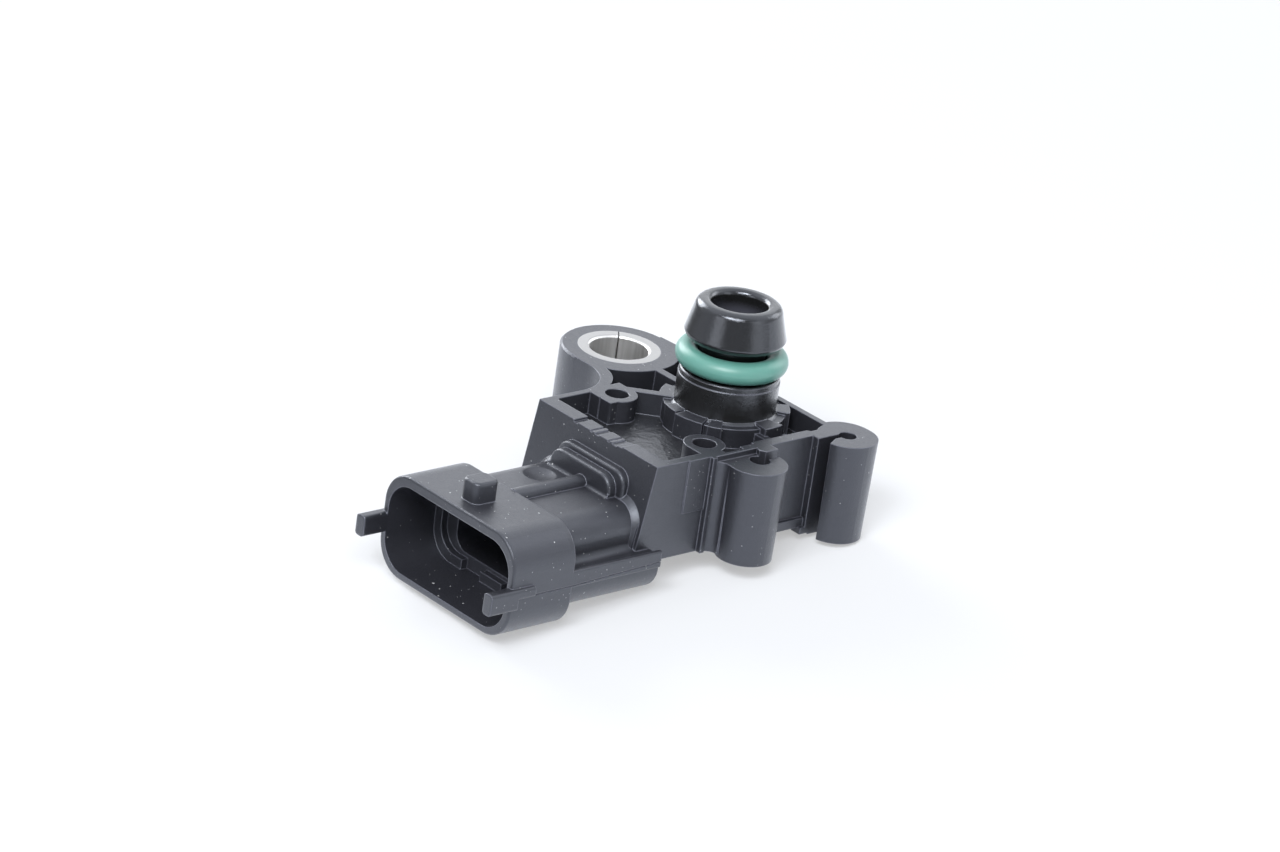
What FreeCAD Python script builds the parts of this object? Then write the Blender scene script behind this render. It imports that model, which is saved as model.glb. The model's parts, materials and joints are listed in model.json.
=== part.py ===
import FreeCAD, Part
import math
import os

# Manifold absolute pressure sensor. Millimetres, with +Z along the pressure port. The origin is on
# the port's axis in the seat plane, which the manifold's flange touches. The connector opens to -Y.

# Pressure port, the plug that goes into the manifold
PORT_RADIUS = 5.925
PORT_HEIGHT = 12.6
PORT_BORE_RADIUS = 2.7
PORT_MOUTH_RADIUS = 3.2
PORT_MOUTH_DEPTH = 3.1
PORT_MOUTH_ROUND = 0.7
PORT_LIP_ROUND = 1.0
PORT_COVE = 0.3
PORT_BAND = 3.45
PORT_BAND_STEP = 0.1
BULB_FOOT = 8.05
BULB_WAIST = 8.6
BULB_TOP_RADIUS = 4.87
BULB_TAPER = 0.3
BULB_ROUND = 0.3
GROOVE_FOOT = 4.2
GROOVE_CHAMFER = 0.15

# Seal ring in the port's groove
O_RING_SECTION = 2.62
O_RING_INNER_DIAMETER = 7.59
O_RING_STRETCH = 1.035
O_RING_PLAY = 0.24

# Body block
BODY_LEFT = -9.4
BODY_RIGHT = 11.2
BODY_WAIST = 11.6
BODY_FRONT = -20.0
BODY_BACK = 7.4
BODY_HEIGHT = 11.7
FOOT_HEIGHT = 12.1
FRONT_LEAN = 0.16
FRONT_WALL = 2.0
LEFT_WALL = 0.75
RIGHT_WALL = 1.05
BACK_WALL = 0.8
BODY_CORNER = 0.5
POCKET_DEPTH = 2.7
EAR_POCKET_DEPTH = 9.0
POCKET_CORNER = 0.4

# Fastening ear with its pressed-in steel bush
EAR_X = -17.7
EAR_Y = -0.9
EAR_RADIUS = 6.94
EAR_FILLET = 5.8
EAR_WALL = 1.35
EAR_EDGE = 0.25
EAR_RING = 0.2
BACK_BEND_X = 1.5
BUSH_RADIUS = 4.9
BUSH_BORE_RADIUS = 3.5
BUSH_CHAMFER = 0.25
BUSH_SEAM_WIDTH = 0.14
BUSH_SEAM_ANGLE = 140.0

# Collar round the port's foot
COLLAR_RADIUS = 7.1
COLLAR_STEP = 0.35
COLLAR_TABS = ((-144.5, 13.0, 0.5), (-101.0, 9.0, 0.25), (-75.0, 14.0, 0.65), (-50.0, 6.0, 0.95),
               (4.0, 10.0, 0.95), (52.0, 10.0, 0.5), (120.0, 12.0, 0.4), (172.0, 9.0, 0.1))

# Webs and screw bosses inside the body's rim
WEB_THICKNESS = 1.0
RIGHT_WEB_DROP = 0.9
SLANT_WEB_TURN = 9.0
BOSS_RADIUS = 2.4
BOSS_HOLE_RADIUS = 1.4
BOSS_HOLE_DEPTH = 3.0
LEFT_BOSS = (-7.0, -10.4)
RIGHT_BOSS = (8.1, -10.3)
LEFT_BOSS_FLAT = 2.6
BOSS_CORNER = 0.3
BOSS_STEP = 1.9
BOSS_HOLE_SINK = 0.6

# Guide pillars on the body's right side
BACK_PILLAR_X = 13.3
FRONT_PILLAR_X = 13.65
PILLAR_OFFSET = 7.1
PILLAR_RADIUS = 3.55
PILLAR_TAPER = 0.25
BACK_KEYHOLE = (13.3, 7.1, 1.05)
FRONT_KEYHOLE = (13.25, -6.3, 1.2)
BACK_SLOT = (12.5, 0.85)
BACK_SLOT_FLARE = 0.8
FRONT_SLOT = (12.9, 0.55)
PILLAR_LIP_REACH = 3.8
PILLAR_BLEND = 1.1
BACK_PILLAR_WIDENING = 0.5
FRONT_PILLAR_DROP = 0.7
FRONT_RIDGE = 0.4
FRONT_NICHE = (-9.8, -5.0)
BACK_NICHE = 0.2
BACK_NICHE_SLOPE = 1.5
FRONT_LIP_ENDS = (-5.35, -5.9)
WAIST_LIFT = 0.5
WAIST_RECESS = 0.85
WAIST_LEDGE_HEIGHT = 1.1
WAIST_LEDGE_WIDTH = 0.45
FOOT_BLOCK_FRONT = 2.6
FOOT_BLOCK_BACK = 4.5
FOOT_BLOCK_RISE = 0.2
FOOT_BLOCK_HEIGHT = 0.8

# Connector shroud
SHROUD_X = 2.0
SHROUD_Z = -10.6
SHROUD_WIDTH = 22.8
SHROUD_HEIGHT = 12.4
SHROUD_CORNER = 4.0
INNER_CORNER_SHARE = 0.6
SHROUD_MOUTH = -41.3
SHROUD_LENGTH = 8.8
SHROUD_TOP_WALL = 1.2
SHROUD_WALL = 0.85
SHROUD_RIM_ROUND = 0.3
LEDGE_DEPTH = 7.1
RECESS_DEPTH = 0.9
LEDGE_WIDTH = 1.2
SOCKET_DEPTH = 16.5
LEDGE_GAP = 3.3
LEDGE_GAP_OFFSET = 3.5
NUB_WIDTH = 2.85
NUB_LENGTH = 3.4
NUB_HEIGHT = 2.5
NUB_SETBACK = 2.0
NUB_CORNER = 0.9
NUB_ROUND = 0.4
TAB_HEIGHT = 2.5
TAB_DROP = 0.53
TAB_THICKNESS = 1.4
TAB_STAND = 0.55
TAB_REACH = 3.2
TAB_RUN = 3.1
TAB_NOTCH = 2.4
TAB_CORNER = 0.4
PARTING_DROPS = (0.1, 0.55)
PARTING_WIDTH = 0.14
PARTING_DEPTH = 0.1

# Neck between shroud and body
NECK_SIDE_STEP = 3.0
NECK_TOP_STEP = 0.85
NECK_CORNER = 2.8
KEEL_SIDE_STEP = 0.8
KEEL_BOTTOM_STEP = 1.7
KEEL_CORNER = 3.2
KEEL_SLOPE = 4.6
KEEL_SETBACK = 1.1
KEEL_SLOPE_ROUND = 5.0
NECK_FLARE = 0.6
RAIL_TOP_RISE = 1.2
RAIL_HEIGHT = 2.0
RAIL_LIP = 0.5
RAIL_GUTTER = 0.6
RAIL_CORNER = 0.2
NECK_OVERLAP = 1.0
RAIL_OVERLAP = 0.5
RAIL_FILLET = 0.9
RIB_RADIUS = 1.0
RIB_SHIFT = -0.1
WELTS = ((-5.75, 4.55, 2.4, 2.5), (-5.9, 5.6, 3.1, 1.4))
WELT_CORNER = 1.8
WELT_ROUND = 0.35
WELT_COVE = 0.45
DIMPLE_SHIFT = -3.9
DIMPLE_SETBACK = 5.4
DIMPLE_RADIUS = 1.9
DIMPLE_DEPTH = 0.35

# Small relief on the body's outside
FRONT_NOTCH_DROP = 0.3
FRONT_NOTCH_FROM = -3.2
FRONT_NOTCHES = ((-3.2, 0.6), (-0.4, 0.35), (0.45, 0.7), (2.65, 0.35), (3.4, 0.85))
SIDE_RIB_Y = -11.6
SIDE_RIB_WIDTH = 0.6
SIDE_RIB_STAND = 0.3
SIDE_STEP_Y = -15.3
SIDE_STEP = 0.18
SIDE_STEP_HEIGHT = 6.5

# Electronics chamber, its cover and the glue between them
CEILING_THICKNESS = 1.5
CHAMBER_LEFT = -4.95
CHAMBER_BACK = 5.0
CHAMBER_NOSE_LEFT = -8.2
CHAMBER_NOSE_BACK = -9.2
CHAMBER_WALL = 1.3
CHAMBER_CORNER = 0.8
SHELF_HEIGHT = 2.4
SHELF_LENGTH = 4.6
COVER_THICKNESS = 1.4
COVER_RIM = 1.0
COVER_CORNER = 1.5
COVER_GAP = 0.5
COVER_LIP = 1.2
COVER_HOLLOW = 0.3
GLUE_DEPTH = 1.0

# Terminals, moulded into the neck
TERMINAL_PITCH = 4.4
TERMINAL_WIDTH = 1.5
TERMINAL_THICKNESS = 0.8
TERMINAL_SETBACK = 9.2
TERMINAL_POINT = 0.9
TERMINAL_TIP_SHARE = 0.3
TERMINAL_BEND_SHARE = 0.8
TERMINAL_BEND_SETBACK = 4.0
TERMINAL_PAD_WIDTH = 3.1
TERMINAL_PAD_REACH = 4.2
TERMINAL_PAD_SETBACK = 0.2
TERMINAL_PAD_CORNER = 0.2

# Sensor module under the port
MODULE_WIDTH = 9.2
MODULE_LENGTH = 8.4
MODULE_HEIGHT = 3.0
MODULE_ROUND = 0.5
MODULE_SEAL = 0.2
CAVITY_WIDTH = 6.6
CAVITY_LENGTH = 5.4
CAVITY_DEPTH = 2.2
CAVITY_ROUND = 0.4
LEAD_WIDTH = 0.9
LEAD_THICKNESS = 0.25
LEAD_PITCH = 2.0
LEAD_PAD = 0.8
LEAD_LAP = 1.6
LEAD_KINK = 1.4
LEAD_STAND = 0.6
MODULE_SKIN = 0.1
GLASS_SIDE = 1.9
GLASS_HEIGHT = 0.6
CHIP_HEIGHT = 0.35
SENSING_CHIP_X = -1.5
SIGNAL_CHIP_X = 1.3
SIGNAL_CHIP_SIDE = 2.2
SIGNAL_CHIP_HEIGHT = 0.4
CHIP_Y = 0.6
WIRE_SIDE = 0.08
WIRE_ARCH = 0.5
WIRE_INSET = 0.25
WIRE_CREST = (0.25, 0.6)
WIRE_SPREAD = 0.3
GEL_DEPTH = 0.5
CAPACITOR_LENGTH = 2.0
CAPACITOR_WIDTH = 1.25
CAPACITOR_HEIGHT = 0.6
CAPACITOR_GAP = 0.1

# How far a cut clears a face, and how deep a joined shape sinks into its carrier
SKIM = 0.01
SINK = 0.5

# Places that follow from the sizes above
GROOVE_RADIUS = O_RING_INNER_DIAMETER * O_RING_STRETCH / 2
O_RING_CENTRE = GROOVE_RADIUS + O_RING_SECTION / 2
O_RING_LEVEL = GROOVE_FOOT + O_RING_SECTION / 2 + O_RING_PLAY
CHAMBER_TOP = -POCKET_DEPTH - CEILING_THICKNESS
COVER_TOP = -BODY_HEIGHT + COVER_THICKNESS
SHROUD_REAR = SHROUD_MOUTH + SHROUD_LENGTH
NECK_WIDTH = SHROUD_WIDTH - 2 * NECK_SIDE_STEP
NECK_TOP = SHROUD_Z + SHROUD_HEIGHT / 2 - NECK_TOP_STEP
KEEL_BOTTOM = SHROUD_Z - SHROUD_HEIGHT / 2 + KEEL_BOTTOM_STEP
RAIL_TOP = SHROUD_Z + RAIL_TOP_RISE
RAIL_BOTTOM = RAIL_TOP - RAIL_HEIGHT
GUTTER_FLOOR = RAIL_TOP - RAIL_GUTTER
NECK_REAR = BODY_FRONT + NECK_OVERLAP
RAIL_REAR = BODY_FRONT + RAIL_OVERLAP
TERMINAL_BEND = BODY_FRONT - TERMINAL_BEND_SETBACK
FRONT_FOOT = BODY_FRONT - FRONT_LEAN * BODY_HEIGHT
SHELF_LEVEL = CHAMBER_TOP - SHELF_HEIGHT
MODULE_TOP = CHAMBER_TOP - MODULE_SEAL
CAVITY_FLOOR = MODULE_TOP - CAVITY_DEPTH


V = FreeCAD.Vector


def flat(z):
    """Places (u, v) in the level plane at height z."""
    return lambda u, v: V(u, v, z)


def upright(y):
    """Places (u, v) in the plane across the connector at y."""
    return lambda u, v: V(u, y, v)


def lengthwise(x):
    """Places (u, v) in the plane along the connector at x."""
    return lambda u, v: V(x, u, v)


def corner_marks(before, corner, after, radius):
    """Start, middle and end of the arc that rounds one corner of an outline."""
    to_before = V(before[0] - corner[0], before[1] - corner[1], 0)
    to_after = V(after[0] - corner[0], after[1] - corner[1], 0)
    to_before.normalize()
    to_after.normalize()
    half = to_before.getAngle(to_after) / 2
    bisector = to_before + to_after
    if radius <= 0 or bisector.Length < 1e-9:
        return corner[:2], None, corner[:2]
    bisector.normalize()
    tangent = radius / math.tan(half)
    inward = radius / math.sin(half) - radius
    place = V(corner[0], corner[1], 0)
    marks = (place + to_before * tangent, place + bisector * inward, place + to_after * tangent)
    return tuple((mark.x, mark.y) for mark in marks)


def outline(corners, spot):
    """Face inside corners given as (u, v) or (u, v, rounding radius)."""
    corners = [corner if len(corner) == 3 else (corner[0], corner[1], 0) for corner in corners]
    count = len(corners)
    marks = []
    for i, corner in enumerate(corners):
        marks.append(corner_marks(corners[i - 1], corner, corners[(i + 1) % count], corner[2]))
    edges = []
    for i, (start, middle, end) in enumerate(marks):
        if middle is not None:
            edges.append(Part.Arc(spot(*start), spot(*middle), spot(*end)).toShape())
        onward = marks[(i + 1) % count][0]
        if math.dist(end, onward) > 1e-7:
            edges.append(Part.LineSegment(spot(*end), spot(*onward)).toShape())
    return Part.Face(Part.Wire(edges))


def prism(corners, low, high):
    """Upright solid over a plan outline."""
    return outline(corners, flat(low)).extrude(V(0, 0, high - low))


def bar(corners, front, back):
    """Solid along Y with an outline across it."""
    return outline(corners, upright(front)).extrude(V(0, back - front, 0))


def slab(corners, left, right):
    """Solid along X with a side outline."""
    return outline(corners, lengthwise(left)).extrude(V(right - left, 0, 0))


def rectangle(left, right, low, high, radius=0.0):
    """Corners of a rectangle with equal rounding."""
    return [(left, low, radius), (right, low, radius), (right, high, radius), (left, high, radius)]


def block(left, right, front, back, low, high, radius=0.0):
    """Box with rounded upright edges."""
    return prism(rectangle(left, right, front, back, radius), low, high)


def drum(radius, low, high, x=0.0, y=0.0):
    """Upright cylinder."""
    return Part.makeCylinder(radius, high - low, V(x, y, low))


def turned(corners):
    """Solid turned about the port's axis from (radius, height) corners."""
    return outline(corners, upright(0)).revolve(V(0, 0, 0), V(0, 0, 1), 360)


def sector(radius, low, high, angle, half_width):
    """Wedge of a disc about the port's axis."""
    wedge = Part.makeCylinder(radius, high - low, V(0, 0, low), V(0, 0, 1), 2 * half_width)
    wedge.rotate(V(0, 0, 0), V(0, 0, 1), angle - half_width)
    return wedge


def joined(shapes):
    """One solid from overlapping shapes."""
    return shapes[0].fuse(shapes[1:]).removeSplitter()


def port_solid():
    """Port from the chamber's ceiling to its wide, rounded mouth, with seal groove and conical bulb."""
    foot_radius = PORT_RADIUS + PORT_COVE
    band_radius = PORT_RADIUS - PORT_BAND_STEP
    throat = PORT_HEIGHT - PORT_MOUTH_DEPTH
    foot = [(0, CHAMBER_TOP), (foot_radius, CHAMBER_TOP), (foot_radius, -COLLAR_STEP),
            (PORT_RADIUS, PORT_COVE - COLLAR_STEP)]
    band = [(PORT_RADIUS, PORT_BAND), (band_radius, PORT_BAND), (band_radius, GROOVE_FOOT - GROOVE_CHAMFER),
            (band_radius - GROOVE_CHAMFER, GROOVE_FOOT)]
    groove = [(GROOVE_RADIUS, GROOVE_FOOT), (GROOVE_RADIUS, BULB_FOOT)]
    bulb = [(PORT_RADIUS - BULB_TAPER, BULB_FOOT), (PORT_RADIUS, BULB_WAIST, BULB_ROUND),
            (BULB_TOP_RADIUS, PORT_HEIGHT, PORT_LIP_ROUND)]
    mouth = [(PORT_MOUTH_RADIUS, PORT_HEIGHT, PORT_MOUTH_ROUND), (PORT_MOUTH_RADIUS, throat), (0, throat)]
    return turned(foot + band + groove + bulb + mouth)


def ear_tangent():
    """Point where the back wall's outer face touches the ear."""
    reach = math.dist((BACK_BEND_X, BODY_BACK), (EAR_X, EAR_Y))
    angle = math.atan2(BODY_BACK - EAR_Y, BACK_BEND_X - EAR_X) + math.acos(EAR_RADIUS / reach)
    return EAR_X + EAR_RADIUS * math.cos(angle), EAR_Y + EAR_RADIUS * math.sin(angle)


def body_block():
    """Outer block of the body with its leaning front and the arm to the ear."""
    ear_low = EAR_Y - EAR_RADIUS
    plan = [(BODY_LEFT, FRONT_FOOT, BODY_CORNER), (BODY_RIGHT, FRONT_FOOT, BODY_CORNER),
            (BODY_RIGHT, SIDE_RIB_Y), (BODY_WAIST, SIDE_RIB_Y), (BODY_WAIST, BODY_BACK),
            (BACK_BEND_X, BODY_BACK), ear_tangent(), (EAR_X, EAR_Y), (EAR_X, ear_low),
            (BODY_LEFT, ear_low, EAR_FILLET)]
    block_solid = prism(plan, -BODY_HEIGHT, 0)
    lean = slab([(BODY_FRONT, SKIM), (FRONT_FOOT, -BODY_HEIGHT), (FRONT_FOOT - 1, -BODY_HEIGHT),
                 (FRONT_FOOT - 1, SKIM)], BODY_LEFT - 1, BODY_WAIST + 1)
    ear = drum(EAR_RADIUS, -FOOT_HEIGHT, 0, EAR_X, EAR_Y)
    rims = [edge for edge in ear.Edges if edge.Closed]
    ear = ear.makeChamfer(EAR_EDGE, rims)
    return joined([block_solid.cut(lean), ear])


def pocket_keepers():
    """What stands up inside the rim: collar, bosses and webs."""
    floor = -EAR_POCKET_DEPTH - 1
    boss_x, boss_y = LEFT_BOSS
    flat_y = boss_y - LEFT_BOSS_FLAT
    right_x, right_y = RIGHT_BOSS
    half = WEB_THICKNESS / 2
    keepers = [drum(COLLAR_RADIUS, floor, -COLLAR_STEP)]
    for angle, half_width, stand in COLLAR_TABS:
        keepers.append(sector(COLLAR_RADIUS + stand, floor, 0, angle, half_width))
    keepers.append(drum(BOSS_RADIUS, floor, 0, boss_x, boss_y))
    keepers.append(block(BODY_LEFT, boss_x, flat_y, boss_y + BOSS_RADIUS, floor, 0))
    keepers.append(block(boss_x, boss_x + BOSS_STEP, flat_y, boss_y, floor, 0, BOSS_CORNER))
    keepers.append(drum(BOSS_RADIUS, floor, 0, right_x, right_y))
    keepers.append(block(right_x, BODY_RIGHT, right_y - BOSS_RADIUS, right_y + half, floor, 0))
    keepers.append(block(EAR_X, 0, EAR_Y - half, EAR_Y + half, floor, 0))
    keepers.append(block(0, BODY_WAIST, EAR_Y - half, EAR_Y + half, floor, -RIGHT_WEB_DROP))
    slant = block(0, math.dist(LEFT_BOSS, (0, 0)), -half, half, floor, 0)
    slant.rotate(V(0, 0, 0), V(0, 0, 1), math.degrees(math.atan2(boss_y, boss_x)) - SLANT_WEB_TURN)
    keepers.append(slant)
    keepers.append(drum(EAR_RADIUS + EAR_RING, floor, 0, EAR_X, EAR_Y))
    return keepers


def pockets():
    """Open spaces between the rim's walls, seen from the seat side."""
    inner_front = BODY_FRONT + FRONT_WALL
    inner_left = BODY_LEFT + LEFT_WALL
    inner_back = BODY_BACK - BACK_WALL
    inner_right = BODY_RIGHT - RIGHT_WALL
    notch = PILLAR_OFFSET - PILLAR_RADIUS
    ear_low = EAR_Y - EAR_RADIUS + EAR_WALL
    tangent_x, tangent_y = ear_tangent()
    niche_front, niche_back = FRONT_NICHE
    niche_right = BODY_WAIST - FRONT_RIDGE
    niche_edge = BODY_WAIST + BACK_NICHE
    plan = [(inner_left, inner_front, POCKET_CORNER), (inner_right, inner_front, POCKET_CORNER),
            (inner_right, niche_front), (niche_right, niche_front), (niche_right, niche_back),
            (inner_right, niche_back), (inner_right, notch), (niche_edge, notch + BACK_NICHE_SLOPE),
            (niche_edge, inner_back, POCKET_CORNER), (BACK_BEND_X, inner_back),
            (tangent_x, tangent_y - BACK_WALL), (EAR_X, EAR_Y), (EAR_X, ear_low),
            (inner_left, ear_low, EAR_FILLET)]
    keepers = pocket_keepers()
    shallow = prism(plan, -POCKET_DEPTH, SKIM).cut(keepers)
    deep_plan = [(EAR_X, CHAMBER_NOSE_BACK + 1), (inner_left, CHAMBER_NOSE_BACK + 1), (0, 0),
                 (0, BODY_BACK), (EAR_X, BODY_BACK)]
    deep_limit = prism(deep_plan, -EAR_POCKET_DEPTH, -POCKET_DEPTH + SINK)
    deep = prism(plan, -EAR_POCKET_DEPTH, -POCKET_DEPTH + SINK).cut(keepers).common(deep_limit)
    return [shallow, deep]


def pillar(side):
    """Guide pillar with its keyhole slot: side is 1 at the back and -1 at the front."""
    x = FRONT_PILLAR_X if side < 0 else BACK_PILLAR_X
    y = side * PILLAR_OFFSET
    top = -FRONT_PILLAR_DROP if side < 0 else 0
    hole_x, hole_y, hole_radius = FRONT_KEYHOLE if side < 0 else BACK_KEYHOLE
    slot_left, slot_width = FRONT_SLOT if side < 0 else BACK_SLOT
    inside = BODY_WAIST - RIGHT_WALL
    foot_radius = PILLAR_RADIUS - PILLAR_TAPER
    height = top + FOOT_HEIGHT
    post = Part.makeCone(foot_radius, PILLAR_RADIUS, height, V(x, y, -FOOT_HEIGHT))
    if side < 0:
        blend_x = BODY_WAIST + PILLAR_BLEND
        blend_y = y - math.sqrt((PILLAR_RADIUS + PILLAR_BLEND) ** 2 - (blend_x - x) ** 2)
        fill = prism([(inside, y), (x, y), (blend_x, blend_y), (inside, blend_y)], -BODY_HEIGHT, top)
        fill = fill.cut(drum(PILLAR_BLEND, -BODY_HEIGHT - 1, 1, blend_x, blend_y))
    else:
        twin_x = x - BACK_PILLAR_WIDENING
        twin = Part.makeCone(foot_radius, PILLAR_RADIUS, height, V(twin_x, y, -FOOT_HEIGHT))
        bridge = block(twin_x, x, y, y + foot_radius, -FOOT_HEIGHT, 0)
        behind = block(twin_x - PILLAR_RADIUS, twin_x + PILLAR_RADIUS, y, y + PILLAR_RADIUS,
                       -FOOT_HEIGHT, 0)
        fill = joined([twin.common(behind), bridge])
    lip_y = side * (PILLAR_OFFSET - PILLAR_LIP_REACH)
    lip = block(inside, slot_left, min(lip_y, y), max(lip_y, y), -BODY_HEIGHT, 0)
    slot = block(slot_left, slot_left + slot_width, min(0, hole_y), max(0, hole_y), -FOOT_HEIGHT - 1, 1)
    hole = drum(hole_radius, -FOOT_HEIGHT - 1, 1, hole_x, hole_y)
    cuts = [slot, hole]
    if side > 0:
        edge = slot_left + slot_width
        entry = y - PILLAR_RADIUS
        flare = edge + BACK_SLOT_FLARE
        cuts.append(prism([(edge, entry - 1), (flare, entry - 1), (flare, entry),
                           (edge, entry + 2 * BACK_SLOT_FLARE)], -FOOT_HEIGHT - 1, 1))
    return joined([post, fill, lip]).cut(cuts)


def front_pillar_step():
    """Space over the front pillar's lowered top, which leaves a thin ridge and the lip's raised end."""
    lip_root, lip_tip = FRONT_LIP_ENDS
    outside = FRONT_PILLAR_X + PILLAR_RADIUS
    return prism([(BODY_WAIST, SIDE_RIB_Y), (outside, SIDE_RIB_Y), (outside, lip_tip),
                  (FRONT_SLOT[0], lip_tip), (BODY_WAIST, lip_root)], -FRONT_PILLAR_DROP, 1)


def waist_recess():
    """Shallow space under the wall between the pillars."""
    reach = PILLAR_OFFSET - PILLAR_LIP_REACH
    return block(BODY_WAIST - WAIST_RECESS, BODY_WAIST + 1, -reach, reach, -BODY_HEIGHT - 1,
                 WAIST_LIFT - BODY_HEIGHT)


def waist_details():
    """Ledge and foot block low between the pillars, and the rib on the front of the right side."""
    reach = PILLAR_OFFSET - PILLAR_LIP_REACH + SINK
    low = WAIST_LIFT - BODY_HEIGHT
    ledge = block(BODY_WAIST - SINK, BODY_WAIST + WAIST_LEDGE_WIDTH, -reach, reach, low,
                  low + WAIST_LEDGE_HEIGHT)
    foot_low = FOOT_BLOCK_RISE - FOOT_HEIGHT
    foot = block(BODY_WAIST - SINK, BACK_SLOT[0], FOOT_BLOCK_FRONT, FOOT_BLOCK_BACK, foot_low,
                 foot_low + FOOT_BLOCK_HEIGHT)
    rib_right = BODY_WAIST + SIDE_RIB_STAND
    rib = block(BODY_RIGHT - SINK, rib_right, SIDE_RIB_Y - SIDE_RIB_WIDTH, SIDE_RIB_Y, -BODY_HEIGHT, 0)
    step = block(BODY_RIGHT - SINK, BODY_RIGHT + SIDE_STEP, SIDE_STEP_Y, SIDE_RIB_Y,
                 -SIDE_STEP_HEIGHT, 0)
    return [ledge, foot, rib, step]


def front_notches():
    """Low pads and grooves along the front wall's top edge."""
    back = BODY_FRONT + FRONT_WALL + SKIM
    last = FRONT_NOTCHES[-1]
    cuts = []
    for left, width in FRONT_NOTCHES:
        cuts.append(block(left, left + width, BODY_FRONT - 1, back, -FRONT_NOTCH_DROP, 1))
    pads_right = last[0] + 2 * last[1]
    cuts.append(block(FRONT_NOTCH_FROM, pads_right, BODY_FRONT - 1, back, -FRONT_NOTCH_DROP / 2, 1))
    return cuts


def shroud_outline(inset=0.0, top_inset=None):
    """Corners of the shroud's section, drawn in by inset."""
    top_inset = inset if top_inset is None else top_inset
    half_width = SHROUD_WIDTH / 2 - inset
    low = SHROUD_Z - SHROUD_HEIGHT / 2 + inset
    high = SHROUD_Z + SHROUD_HEIGHT / 2 - top_inset
    radius = SHROUD_CORNER - inset * INNER_CORNER_SHARE
    return rectangle(SHROUD_X - half_width, SHROUD_X + half_width, low, high, radius)


def shroud_body():
    """Outer shell of the connector with its rounded rim, locking nub and guide tabs."""
    shell = bar(shroud_outline(), SHROUD_MOUTH, SHROUD_REAR)
    rim = [edge for edge in shell.Edges if edge.BoundBox.YMax < SHROUD_MOUTH + 1e-6]
    shell = shell.makeFillet(SHROUD_RIM_ROUND, rim)
    high = SHROUD_Z + SHROUD_HEIGHT / 2
    front = SHROUD_MOUTH + NUB_SETBACK
    nub = block(SHROUD_X - NUB_WIDTH / 2, SHROUD_X + NUB_WIDTH / 2, front, front + NUB_LENGTH,
                high - SHROUD_TOP_WALL / 2, high + NUB_HEIGHT, NUB_CORNER)
    tips = [edge for edge in nub.Edges if edge.BoundBox.ZMin > high + NUB_HEIGHT - 1e-6]
    nub = nub.makeFillet(NUB_ROUND, tips)
    return [shell, nub] + guide_tabs()


def guide_tabs():
    """Pair of tabs that stick out in front of the mouth at mid height."""
    tabs = []
    middle = SHROUD_Z - TAB_DROP
    for side in (-1, 1):
        outer = SHROUD_X + side * (SHROUD_WIDTH / 2 + TAB_STAND)
        inner = outer - side * TAB_THICKNESS
        left = min(inner, outer)
        right = max(inner, outer)
        front = SHROUD_MOUTH - TAB_REACH
        tab = bar(rectangle(left, right, middle - TAB_HEIGHT / 2, middle + TAB_HEIGHT / 2, TAB_CORNER),
                  front, SHROUD_MOUTH + TAB_RUN - TAB_NOTCH)
        tail = bar(rectangle(left, right, middle, middle + TAB_HEIGHT / 2, TAB_CORNER),
                   front + TAB_REACH, SHROUD_MOUTH + TAB_RUN)
        tabs.extend([tab, tail])
    return tabs


def parting_lines():
    """Fine grooves along both sides of the connector, where the mould's halves met."""
    rear_level, front_level = (SHROUD_Z - drop for drop in PARTING_DROPS)
    front = SHROUD_MOUTH + TAB_RUN
    half = SHROUD_WIDTH / 2
    thick = PARTING_WIDTH / 2
    path = [(front, front_level - thick), (SHROUD_REAR, front_level - thick),
            (RAIL_REAR, rear_level - thick), (RAIL_REAR, rear_level + thick),
            (SHROUD_REAR, front_level + thick), (front, front_level + thick)]
    lines = []
    for side in (-1, 1):
        inner = SHROUD_X + side * (half - PARTING_DEPTH)
        outer = SHROUD_X + side * (half + PARTING_DEPTH)
        lines.append(slab(path, min(inner, outer), max(inner, outer)))
    return lines


def neck_flare():
    """Flared foot of the neck against the body's leaning front wall."""
    half = NECK_WIDTH / 2
    low = RAIL_BOTTOM - NECK_CORNER
    wall = BODY_FRONT + FRONT_LEAN * NECK_TOP
    rings = []
    for setback, grow in ((NECK_FLARE, 0), (-NECK_FLARE, 2 * NECK_FLARE)):
        corners = rectangle(SHROUD_X - half - grow, SHROUD_X + half + grow, low - grow, NECK_TOP + grow,
                            NECK_CORNER + grow)
        rings.append(outline(corners, upright(wall - setback)).OuterWire)
    flare = Part.makeLoft(rings, True, True)
    flare.rotate(V(0, wall, NECK_TOP), V(1, 0, 0), -math.degrees(math.atan(FRONT_LEAN)))
    keep = block(SHROUD_X - SHROUD_WIDTH, BODY_RIGHT - BODY_CORNER, wall - SHROUD_WIDTH,
                 BODY_FRONT + NECK_FLARE, GUTTER_FLOOR, 0)
    return flare.common(keep)


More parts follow.
